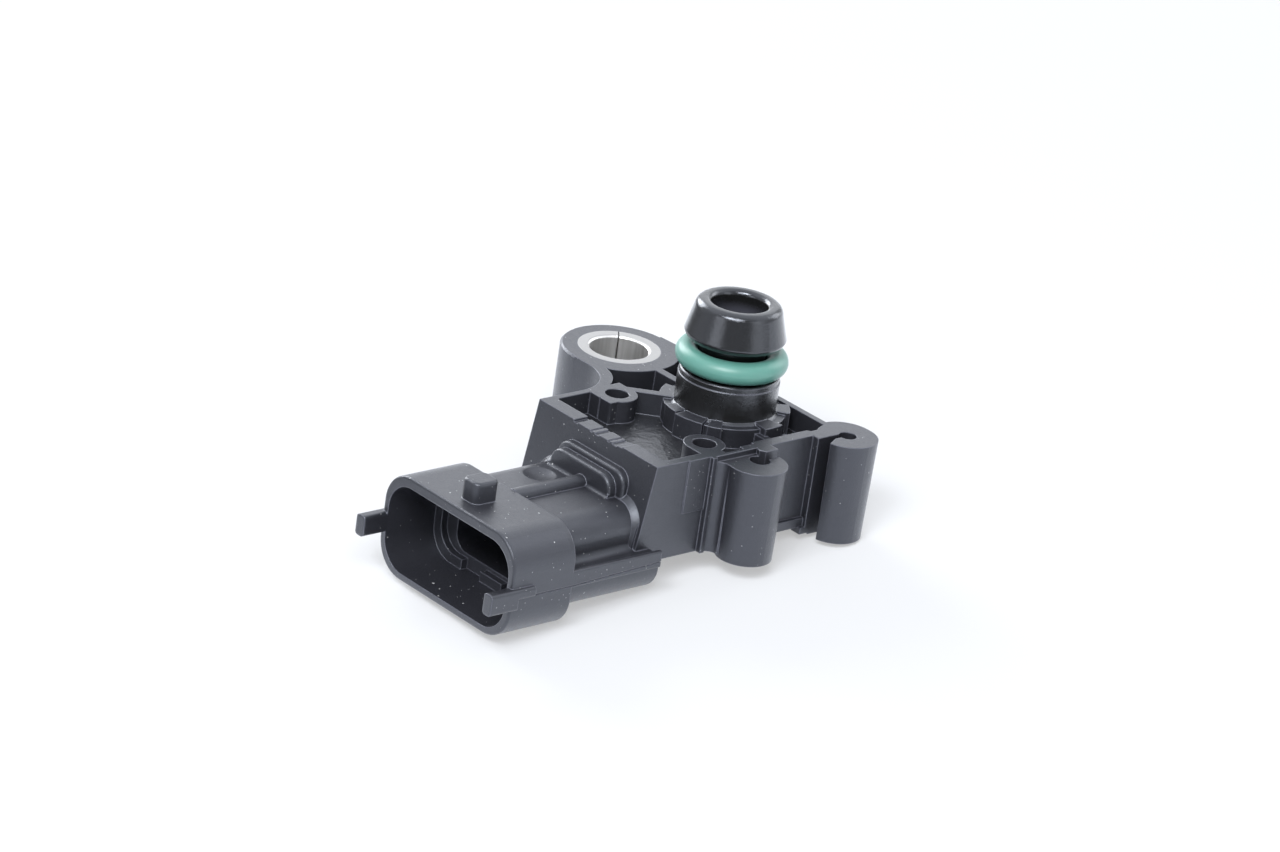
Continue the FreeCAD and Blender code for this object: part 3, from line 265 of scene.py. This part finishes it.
class Finish(Nodes):
    """A material's nodes, with the patterns that the finishes share."""

    def __init__(self, name):
        self.material = bpy.data.materials.new(name)
        self.material.use_nodes = True
        super().__init__(self.material.node_tree)
        self.shader = self.add("ShaderNodeBsdfPrincipled")
        self.add("ShaderNodeOutputMaterial", Surface=self.shader.outputs[0])
        place = self.add("ShaderNodeTexCoord").outputs["Object"]
        self.millimetres = self.vector("SCALE", place, scale=PER_MM)

    def set(self, **inputs):
        """Inputs of the shader itself."""
        for name, value in inputs.items():
            self.put(self.shader, name.replace("_", " "), value)

    def noise(self, scale, detail, stretch=None, roughness=0.55):
        """Fractal noise from 0 to 1, with its scale per millimetre, which a stretch changes by axis."""
        place = self.millimetres
        if stretch is not None:
            place = self.vector("MULTIPLY", place, stretch)
        node = self.add("ShaderNodeTexNoise", Vector=place, Scale=scale, Detail=detail,
                        Roughness=roughness)
        return node.outputs["Fac"]

    def blend(self, amount, first, second):
        """Colour between two colours."""
        node = self.tree.nodes.new("ShaderNodeMix")
        node.data_type = "RGBA"
        self.put(node, "0", amount)
        self.put(node, "6", first)
        self.put(node, "7", second)
        return node.outputs[2]

    def between(self, amount, first, second):
        """Number between two numbers."""
        node = self.tree.nodes.new("ShaderNodeMix")
        self.put(node, "0", amount)
        self.put(node, "2", first)
        self.put(node, "3", second)
        return node.outputs[0]

    def spread(self, pattern, least, change):
        """Number that a pattern raises from its least value by up to a change."""
        return self.math("MULTIPLY_ADD", pattern, change, least)

    def both(self, first, second):
        """Mask of what two masks share."""
        return self.math("MULTIPLY", first, second)

    def axes(self):
        """Place split into x, y and z in millimetres."""
        return self.add("ShaderNodeSeparateXYZ", Vector=self.millimetres).outputs

    def bump(self, height, depth, normal=None):
        """Normal that follows a height pattern with a depth in millimetres."""
        node = self.add("ShaderNodeBump", Strength=1.0, Distance=depth * MM, Height=height)
        if normal is not None:
            self.put(node, "Normal", normal)
        return node.outputs[0]

    def soft_edges(self, radius, samples=6):
        """Normal with the small rounding of a moulded or deburred edge, radius in millimetres."""
        node = self.add("ShaderNodeBevel", Radius=self.math("MULTIPLY", radius, MM))
        node.samples = samples
        return node.outputs[0]

    def within(self, box):
        """Mask of a box, given as its middle and its half sizes in millimetres."""
        middle, half = box
        inside = 1.0
        for place, centre, reach in zip(self.axes(), middle, half):
            away = self.math("ABSOLUTE", self.math("SUBTRACT", place, centre))
            inside = self.math("MULTIPLY", self.math("LESS_THAN", away, reach), inside)
        return inside

    def edges(self, radius):
        """Mask of the part's edges and corners, where the rounded normal leaves the true one."""
        true = self.add("ShaderNodeNewGeometry").outputs["Normal"]
        agreed = self.vector("DOT_PRODUCT", self.soft_edges(radius, EDGE_SAMPLES), true)
        return self.ramp(agreed, EDGE_AGREEMENT, (1.0, 0.0))

    def specks(self, spacing, share, size):
        """Mask of tiny ragged grains, such as dust: one place per cell, and few cells have one."""
        ragged = self.add("ShaderNodeTexNoise", Vector=self.millimetres, Scale=RAGGED_SCALE)
        shift = self.vector("SCALE", ragged.outputs["Color"], scale=size * RAGGED_SHARE)
        place = self.vector("ADD", self.millimetres, shift)
        cells = self.add("ShaderNodeTexVoronoi", Vector=place, Scale=1.0 / spacing, Randomness=1.0)
        chance = self.add("ShaderNodeSeparateXYZ", Vector=cells.outputs["Color"]).outputs
        there = self.math("GREATER_THAN", chance[0], 1.0 - share)
        reach = self.math("MULTIPLY", chance[1], size / spacing)
        near = self.math("LESS_THAN", cells.outputs["Distance"], reach)
        return self.both(there, near)


def grey(level, tint=(1.0, 1.0, 1.0)):
    """Opaque colour from a linear level and a tint."""
    return (level * tint[0], level * tint[1], level * tint[2], 1.0)


def housing_plastic():
    """Glass-filled black nylon: mottled, with glossy port and pocket floor, painted edge highlights,
    painted fill light in bore, socket and recess, and dust.
    """
    finish = Finish("housing_black_nylon")
    x, y, z = finish.axes()
    across = finish.add("ShaderNodeCombineXYZ", X=x, Y=y, Z=0.0).outputs[0]
    radius = finish.vector("LENGTH", across)
    normal = finish.add("ShaderNodeNewGeometry").outputs["Normal"]
    facing = finish.add("ShaderNodeSeparateXYZ", Vector=normal).outputs[2]

    on_port = finish.both(finish.ramp(radius, (PORT_REACH, PORT_REACH + BLEND), (1.0, 0.0)),
                          finish.ramp(z, (PORT_FOOT - BLEND, PORT_FOOT)))
    # Painted fill light in the bore, paler deeper down where the shade is
    in_bore = finish.both(finish.math("LESS_THAN", radius, BORE_RADIUS), finish.ramp(z, BORE_FADE))
    on_floor = finish.both(finish.ramp(z, POCKET_FLOOR_HIGH, (1.0, 0.0)),
                           finish.ramp(z, POCKET_FLOOR_LOW))
    on_floor = finish.both(on_floor, finish.ramp(facing, FLAT_EDGE))
    on_floor = finish.both(on_floor, finish.ramp(y, (FRONT_WALL_BACK, FRONT_WALL_BACK + BLEND)))
    polished = finish.math("MAXIMUM", on_port, on_floor)
    matte = finish.math("SUBTRACT", 1.0, polished)

    mottle = finish.noise(*MOTTLE)
    grain = finish.noise(*GRAIN, roughness=FINE_ROUGHNESS)
    fibre = finish.math("MULTIPLY", finish.noise(*FIBRE, FIBRE_STRETCH), FIBRE_SHARE)
    # Painted highlight: edges and corners, convex and concave, made paler where they would catch light,
    # broken up by the mottle
    painted_edge_highlight = finish.both(finish.edges(HIGHLIGHT_EDGE_REACH), finish.spread(mottle, HIGHLIGHT_LEAST, HIGHLIGHT_SPREAD))
    dust = finish.math("MAXIMUM", finish.specks(*COARSE_DUST), finish.specks(*FINE_DUST))
    dust = finish.both(dust, matte)
    settled = finish.both(dust, finish.ramp(facing, UPWARD_EDGE, DUST_COVER))

    base = finish.blend(finish.noise(*CLOUD), grey(PLASTIC_DARK, PLASTIC_TINT),
                        grey(PLASTIC_PALE, PLASTIC_TINT))
    # The bore, socket and recess greys are painted fill light in the hollows' shade; the edge grey is a
    # painted highlight
    for mask, shade in ((fibre, grey(FIBRE_SHADE, PLASTIC_TINT)),
                        (polished, grey(POLISHED_SHADE)),
                        (in_bore, grey(BORE_PAINTED_FILL, PLASTIC_TINT)),
                        (finish.within(SOCKET_BOX), grey(SOCKET_PAINTED_FILL, PLASTIC_TINT)),
                        (finish.within(RECESS_BOX), grey(RECESS_PAINTED_FILL, PLASTIC_TINT)),
                        (painted_edge_highlight, grey(EDGE_HIGHLIGHT_SHADE, PLASTIC_TINT)),
                        (settled, grey(DUST_SHADE, DUST_TINT))):
        base = finish.blend(mask, base, shade)

    rough = finish.spread(mottle, MATTE_ROUGH, MATTE_SPREAD)
    rough = finish.spread(grain, rough, MATTE_SPREAD)
    barrel = finish.ramp(z, PORT_GROOVE, (BARREL_ROUGH, 0.0))
    shiny = finish.math("ADD", barrel, POLISHED_ROUGH)
    shiny = finish.spread(finish.noise(*GLOSS), shiny, POLISHED_SPREAD)

    rounding = finish.ramp(y, MOUTH_BLEND, (MOUTH_ROUND, EDGE_ROUND))
    relief = finish.soft_edges(rounding, EDGE_SAMPLES)
    relief = finish.bump(finish.both(finish.noise(*WAVES), on_floor), WAVE_DEPTH, relief)
    ripple = finish.noise(*RIPPLE, roughness=FINE_ROUGHNESS)
    relief = finish.bump(finish.both(ripple, on_port), RIPPLE_DEPTH, relief)
    skin = finish.math("ADD", grain, finish.math("MULTIPLY", dust, DUST_HEIGHT))
    relief = finish.bump(finish.both(skin, matte), SKIN_DEPTH, relief)
    finish.set(Base_Color=base, Roughness=finish.between(polished, rough, shiny), Normal=relief,
               IOR=PLASTIC_IOR, Specular_Tint=SHEEN_TINT)
    return finish.material


def seal_rubber():
    """Teal fluorosilicone with a satin skin and a little dust."""
    finish = Finish("seal_green_rubber")
    base = finish.blend(finish.noise(*SEAL_CLOUD), SEAL_DARK, SEAL_PALE)
    dust = finish.math("MULTIPLY", finish.specks(*SEAL_DUST), SEAL_DUST_COVER)
    base = finish.blend(dust, base, grey(SEAL_DUST_SHADE))
    skin = finish.noise(*SEAL_SKIN)
    finish.set(Base_Color=base, Roughness=finish.spread(skin, SEAL_ROUGH, SEAL_SPREAD),
               Normal=finish.bump(skin, SEAL_SKIN_DEPTH), IOR=SEAL_IOR,
               Subsurface_Weight=SEAL_SOFTNESS, Subsurface_Radius=SEAL_LIGHT_REACH)
    return finish.material


def bush_steel():
    """Rolled and plated steel: pale matte ends, drawn streaks down the bore."""
    finish = Finish("bush_plated_steel")
    streaks = finish.noise(*STEEL_STREAKS, STEEL_STRETCH)
    cloud = finish.math("MULTIPLY", finish.noise(*STEEL_CLOUD), STEEL_CLOUD_SHARE)
    on_end = finish.ramp(finish.axes()[2], BUSH_END)
    base = finish.blend(streaks, grey(STEEL_DARK, STEEL_DARK_TINT), grey(STEEL_PALE, STEEL_TINT))
    base = finish.blend(on_end, base, grey(STEEL_END, STEEL_TINT))
    rough = finish.spread(streaks, STEEL_ROUGH, STEEL_SPREAD)
    rough = finish.spread(on_end, rough, STEEL_END_ROUGH)
    relief = finish.bump(finish.math("ADD", streaks, cloud), STEEL_DEPTH,
                         finish.soft_edges(FINE_ROUND))
    finish.set(Base_Color=base, Metallic=1.0, Roughness=rough, Normal=relief)
    return finish.material


def plain_plastic(name, level, tint, rough):
    """Moulded plastic inside or under the part, with a fine grain."""
    finish = Finish(name)
    cloud = finish.noise(0.3, 3.0)
    grain = finish.noise(6.0, 2.0)
    finish.set(Base_Color=finish.blend(cloud, grey(level, tint), grey(level * 1.4, tint)),
               Roughness=finish.spread(grain, rough, 0.15),
               Normal=finish.bump(grain, 0.015, finish.soft_edges(FINE_ROUND)))
    return finish.material


def plated_metal(name, colour, rough):
    """Drawn strip metal with streaks along its length."""
    finish = Finish(name)
    streaks = finish.noise(4.0, 3.0, (1.0, 0.08, 1.0))
    dark = tuple(channel * 0.8 for channel in colour) + (1.0,)
    finish.set(Base_Color=finish.blend(streaks, dark, colour + (1.0,)), Metallic=1.0,
               Roughness=finish.spread(streaks, rough, 0.18),
               Normal=finish.bump(streaks, 0.008))
    return finish.material


def silicone(name, colour, rough):
    """Cured glue or gel, glossy and slightly wavy."""
    finish = Finish(name)
    waves = finish.noise(0.7, 3.0)
    pale = tuple(min(1.0, channel * 1.3) for channel in colour) + (1.0,)
    finish.set(Base_Color=finish.blend(waves, colour + (1.0,), pale),
               Roughness=finish.spread(waves, rough, 0.15),
               Normal=finish.bump(waves, 0.06))
    return finish.material


def silicon_die(name, colour):
    """Polished silicon or glass with faint mottling."""
    finish = Finish(name)
    fine = finish.noise(9.0, 2.0)
    dark = tuple(channel * 0.7 for channel in colour) + (1.0,)
    finish.set(Base_Color=finish.blend(fine, dark, colour + (1.0,)), Metallic=0.6,
               Roughness=finish.spread(fine, 0.15, 0.1))
    return finish.material


def dress_nodes():
    """Gives every piece of the frame its finish."""
    finishes = {
        "housing": housing_plastic(),
        "o_ring": seal_rubber(),
        "mounting_bush": bush_steel(),
        "rear_cover": plain_plastic("cover_black_nylon", 0.024, PLASTIC_TINT, 0.45),
        "cover_adhesive": silicone("cover_glue", (0.05, 0.05, 0.055), 0.3),
        "sensor_module": plain_plastic("module_resin", 0.03, (1.0, 1.0, 1.0), 0.4),
        "module_seal": silicone("module_glue", (0.35, 0.33, 0.30), 0.3),
        "glass_base": silicon_die("glass", (0.55, 0.62, 0.60)),
        "sensing_chip": silicon_die("sensing_silicon", (0.22, 0.24, 0.30)),
        "signal_chip": silicon_die("signal_silicon", (0.25, 0.22, 0.30)),
        "bond_wires": plated_metal("wire_gold", (0.85, 0.65, 0.25), 0.2),
        "protective_gel": silicone("gel", (0.45, 0.45, 0.42), 0.1),
    }
    ceramic = plain_plastic("capacitor_ceramic", 0.28, (1.0, 0.8, 0.6), 0.4)
    tin = plated_metal("terminal_tin", (0.72, 0.72, 0.70), 0.25)
    copper = plated_metal("lead_copper", (0.80, 0.50, 0.35), 0.25)
    for name, node in frame["nodes"].items():
        finish = finishes.get(name)
        if name.startswith("emc_capacitor"):
            finish = ceramic
        elif name.startswith("terminal"):
            finish = tin
        elif name.startswith("module_lead"):
            finish = copper
        node.data.materials.clear()
        node.data.materials.append(finish)


def floor_finish():
    """White sweep: it keeps the part's soft shadow, is white to the camera and lit in reflections.

    From below it is clear, so that it never hides the part.
    """
    material = bpy.data.materials.new("white_floor")
    material.use_nodes = True
    nodes = Nodes(material.node_tree)
    rays = nodes.add("ShaderNodeLightPath").outputs
    surface = nodes.add("ShaderNodeNewGeometry").outputs
    paint = nodes.add("ShaderNodeBsdfDiffuse", Color=FLOOR_COLOUR).outputs[0]
    glow = nodes.add("ShaderNodeEmission", Color=grey(1.0), Strength=BACKGROUND_WHITE).outputs[0]
    seen = nodes.layered(nodes.math("MULTIPLY", rays["Is Camera Ray"], FLOOR_GLOW), paint, glow)
    level = nodes.math("MULTIPLY", rays["Is Glossy Ray"], FLOOR_SHINE)
    shine = nodes.add("ShaderNodeEmission", Color=ROOM_COLOUR, Strength=level).outputs[0]
    near = nodes.add("ShaderNodeAddShader")
    nodes.put(near, "0", seen)
    nodes.put(near, "1", shine)
    along = nodes.vector("DOT_PRODUCT", surface["Position"], FLOOR_FADE)
    faded = nodes.math("MULTIPLY", rays["Is Glossy Ray"], nodes.ramp(along, FLOOR_FADE_EDGE))
    far = nodes.add("ShaderNodeEmission", Color=ROOM_COLOUR, Strength=FLOOR_DIM).outputs[0]
    above = nodes.layered(faded, near.outputs[0], far)
    clear = nodes.add("ShaderNodeBsdfTransparent").outputs[0]
    nodes.add("ShaderNodeOutputMaterial", Surface=nodes.layered(surface["Backfacing"], above, clear))
    return material


def floor():
    """Floor through the three points that the part rests on."""
    first, second, third = (point * MM for point in REST_POINTS)
    normal = (second - first).cross(third - first).normalized()
    along = (second - first).normalized()
    aside = normal.cross(along)
    middle = (first + second + third) / 3
    corners = [middle + along * (FLOOR_REACH * u) + aside * (FLOOR_REACH * v)
               for u, v in ((-1, -1), (1, -1), (1, 1), (-1, 1))]
    mesh = bpy.data.meshes.new("floor")
    mesh.from_pydata([tuple(corner) for corner in corners], [], [(0, 1, 2, 3)])
    mesh.materials.append(floor_finish())
    sheet = bpy.data.objects.new("floor", mesh)
    bpy.context.scene.collection.objects.link(sheet)


def softbox(name, place, side, power):
    """Square lamp that faces the part."""
    lamp = bpy.data.lights.new(name, "AREA")
    lamp.color = LAMP_COLOUR
    lamp.shape = "SQUARE"
    lamp.size = side
    lamp.energy = power
    holder = bpy.data.objects.new(name, lamp)
    holder.location = place
    holder.rotation_mode = "QUATERNION"
    holder.rotation_quaternion = (-place).to_track_quat("-Z", "Y")
    bpy.context.scene.collection.objects.link(holder)


def surroundings():
    """World: pale grey light, a white room in reflections, plain white to the camera."""
    world = bpy.data.worlds.new("studio")
    world.use_nodes = True
    nodes = Nodes(world.node_tree)
    rays = nodes.add("ShaderNodeLightPath").outputs
    heading = nodes.add("ShaderNodeTexCoord").outputs["Generated"]
    overhead = nodes.ramp(nodes.vector("DOT_PRODUCT", heading, ROOM_TOP), ROOM_TOP_EDGE,
                          (ROOM_LEVEL - ROOM_NEAR_LEVEL, ROOM_TOP_LEVEL - ROOM_NEAR_LEVEL))
    away = nodes.ramp(nodes.vector("DOT_PRODUCT", heading, ROOM_NEAR), ROOM_NEAR_EDGE, (1.0, 0.0))
    level = nodes.math("MULTIPLY_ADD", overhead, away, ROOM_NEAR_LEVEL)
    light = nodes.add("ShaderNodeBackground", Color=grey(WORLD_GREY, LAMP_COLOUR)).outputs[0]
    room = nodes.add("ShaderNodeBackground", Color=ROOM_COLOUR, Strength=level).outputs[0]
    white = nodes.add("ShaderNodeBackground", Color=grey(BACKGROUND_WHITE)).outputs[0]
    lit = nodes.layered(rays["Is Glossy Ray"], light, room)
    nodes.add("ShaderNodeOutputWorld", Surface=nodes.layered(rays["Is Camera Ray"], lit, white))
    bpy.context.scene.world = world


def camera():
    """Camera at the photograph's viewpoint."""
    lens = bpy.data.cameras.new("camera")
    lens.sensor_width = CAMERA_SENSOR
    lens.sensor_fit = "HORIZONTAL"
    lens.lens = CAMERA_LENS
    lens.clip_start = CAMERA_NEAR
    holder = bpy.data.objects.new("camera", lens)
    back = CAMERA_RIGHT.cross(CAMERA_UP)
    turn = Matrix((CAMERA_RIGHT, CAMERA_UP, back)).transposed()
    holder.matrix_world = Matrix.Translation(CAMERA_PLACE) @ turn.to_4x4()
    bpy.context.scene.collection.objects.link(holder)
    bpy.context.scene.camera = holder


bpy.context.scene.view_settings.view_transform = "Standard"
camera()
surroundings()
floor()
for box_name, box_place, box_side, box_power in SOFTBOXES:
    softbox(box_name, box_place, box_side, box_power)
dress_nodes()
